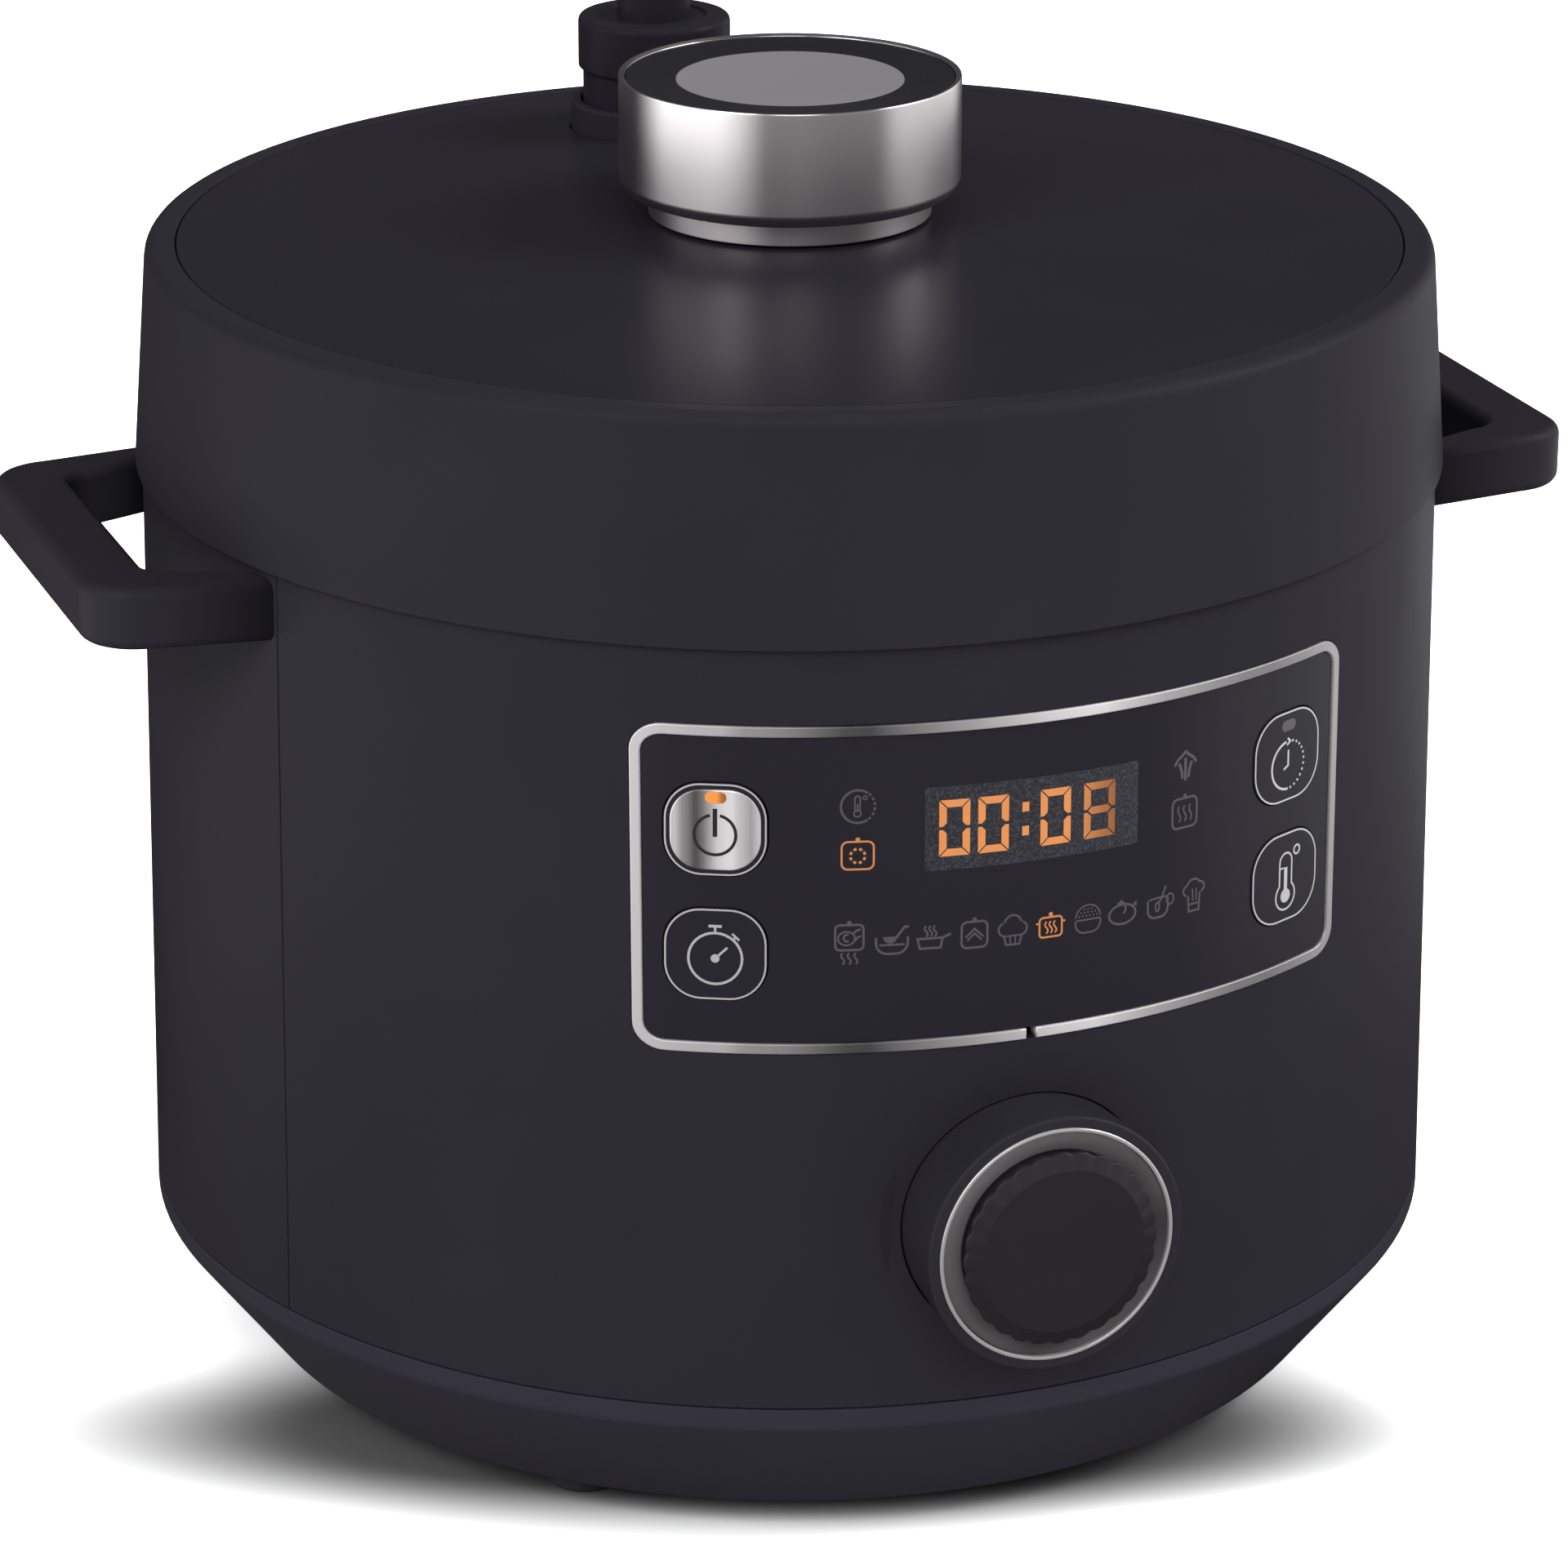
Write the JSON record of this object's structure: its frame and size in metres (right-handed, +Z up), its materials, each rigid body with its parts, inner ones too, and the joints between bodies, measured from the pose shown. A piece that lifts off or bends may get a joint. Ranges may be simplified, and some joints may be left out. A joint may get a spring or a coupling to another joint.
{
  "type": "electric pressure cooker",
  "caption": "Round countertop electric pressure cooker with a locking lid, steam valve, loop handles, front display panel and a push dial; the pot lifts out.",
  "frame": {"origin": "on the floor plane under the pot's axis, centre of the overall footprint", "axes": "+Z up along the pot's axis; the control panel and dial face -Y; the handles are at -X and +X"},
  "size_m": [0.3508, 0.3348, 0.2987],
  "materials": {
    "charcoal_plastic": "satin moulded, fine texture",
    "gloss_black": "polished",
    "brushed_steel": "brushed round",
    "bright_trim": "bright satin chrome",
    "plain_steel": "stamped",
    "aluminium": "bead blasted",
    "pot_coating": "non-stick coated aluminium, speckled",
    "support_plastic": "moulded",
    "grey_disc": "flat satin",
    "foot_rubber": "matte",
    "silicone": "translucent matte",
    "circuit_board": "solder mask",
    "smoke_plastic": "smoked translucent"
  },
  "bodies": {
    "root": {"base_shell": "charcoal_plastic", "bottom_cover": "charcoal_plastic", "foot_front_left": "foot_rubber", "foot_front_right": "foot_rubber", "foot_rear_left": "foot_rubber", "foot_rear_right": "foot_rubber", "cover_screw_1": "plain_steel", "cover_screw_2": "plain_steel", "cover_screw_3": "plain_steel", "cover_screw_4": "plain_steel", "front_fascia": "charcoal_plastic", "rear_shell": "charcoal_plastic", "handle_left": "charcoal_plastic", "handle_right": "charcoal_plastic", "handle_screw_1": "plain_steel", "handle_screw_2": "plain_steel", "handle_screw_3": "plain_steel", "handle_screw_4": "plain_steel", "housing_ring": "plain_steel", "heat_shield": "aluminium", "heating_plate": "aluminium", "sensor_spring": "plain_steel", "power_board": "circuit_board", "panel_frame": "bright_trim", "panel_face": "gloss_black", "display_module": "gloss_black", "key_board_left": "circuit_board", "key_board_right": "circuit_board", "encoder_body": "plain_steel", "power_inlet": "gloss_black"},
    "sensor": {"temperature_sensor": "plain_steel"},
    "pot": {"inner_pot": "pot_coating"},
    "dial_slide": {"dial_plunger": "silicone"},
    "dial": {"dial_knob": "charcoal_plastic", "dial_trim_ring": "bright_trim", "dial_grip": "gloss_black"},
    "power_button": {"power_key": "bright_trim"},
    "timer_button": {"timer_key": "gloss_black"},
    "delay_button": {"delay_key": "gloss_black"},
    "temperature_button": {"temperature_key": "gloss_black"},
    "collector": {"condensate_collector": "smoke_plastic"},
    "lid": {"lid_shell": "charcoal_plastic", "lid_top_panel": "charcoal_plastic", "lid_support": "support_plastic", "pressure_plate": "aluminium", "inner_lid": "aluminium", "sealing_gasket": "silicone", "inner_lid_nut": "silicone", "knob_plinth": "brushed_steel", "valve_collar": "charcoal_plastic", "steam_pipe": "plain_steel", "steam_filter": "plain_steel"},
    "float": {"float_pin": "aluminium"},
    "knob": {"knob_ring": "brushed_steel", "knob_bezel": "gloss_black", "knob_disc": "grey_disc", "knob_spindle": "plain_steel", "locking_bridge": "plain_steel"},
    "valve": {"valve_weight": "plain_steel"},
    "valve_top": {"valve_cap": "charcoal_plastic"}
  },
  "joints": [
    {"name": "lid_lift", "type": "slide", "parent": "root", "child": "lid", "axis": [0, 0, 1], "range_m": [0, 0.38]},
    {"name": "knob_turn", "type": "hinge", "parent": "lid", "child": "knob", "pos_m": [0, 0, 0.28], "axis": [0, 0, 1], "range_deg": [-30, 0]},
    {"name": "float_rise", "type": "slide", "parent": "lid", "child": "float", "axis": [0, 0, 1], "range_m": [0, 0.0045]},
    {"name": "valve_lift", "type": "slide", "parent": "lid", "child": "valve", "axis": [0, 0, 1], "range_m": [0, 0.03]},
    {"name": "valve_turn", "type": "hinge", "parent": "valve", "child": "valve_top", "pos_m": [0, 0.0924, 0.28], "axis": [0, 0, 1], "range_deg": [0, 60]},
    {"name": "pot_lift", "type": "slide", "parent": "root", "child": "pot", "axis": [0, 0, 1], "range_m": [0, 0.171]},
    {"name": "sensor_press", "type": "slide", "parent": "root", "child": "sensor", "axis": [0, 0, -1], "range_m": [0, 0.002], "stiffness_N_per_m": 900, "springref_m": -0.003, "deforming": ["sensor_spring"]},
    {"name": "dial_press", "type": "slide", "parent": "root", "child": "dial_slide", "axis": [0, 1, 0], "range_m": [0, 0.0012], "stiffness_N_per_m": 1200, "springref_m": -0.0015},
    {"name": "dial_turn", "type": "hinge", "parent": "dial_slide", "child": "dial", "pos_m": [0, -0.15, 0.0828], "axis": [0, -1, 0], "continuous": true},
    {"name": "power_press", "type": "slide", "parent": "root", "child": "power_button", "axis": [0.4431, 0.8965, 0], "range_m": [0, 0.0008], "stiffness_N_per_m": 700, "springref_m": -0.001},
    {"name": "timer_press", "type": "slide", "parent": "root", "child": "timer_button", "axis": [0.4431, 0.8965, 0], "range_m": [0, 0.0008], "stiffness_N_per_m": 700, "springref_m": -0.001},
    {"name": "delay_press", "type": "slide", "parent": "root", "child": "delay_button", "axis": [-0.4431, 0.8965, 0], "range_m": [0, 0.0008], "stiffness_N_per_m": 700, "springref_m": -0.001},
    {"name": "temperature_press", "type": "slide", "parent": "root", "child": "temperature_button", "axis": [-0.4431, 0.8965, 0], "range_m": [0, 0.0008], "stiffness_N_per_m": 700, "springref_m": -0.001},
    {"name": "collector_pull", "type": "slide", "parent": "root", "child": "collector", "axis": [0, 1, 0], "range_m": [0, 0.06]}
  ],
  "couplings": [
    {"joint": "pot_lift", "follows": "lid_lift", "ratio": 0.45}
  ]
}
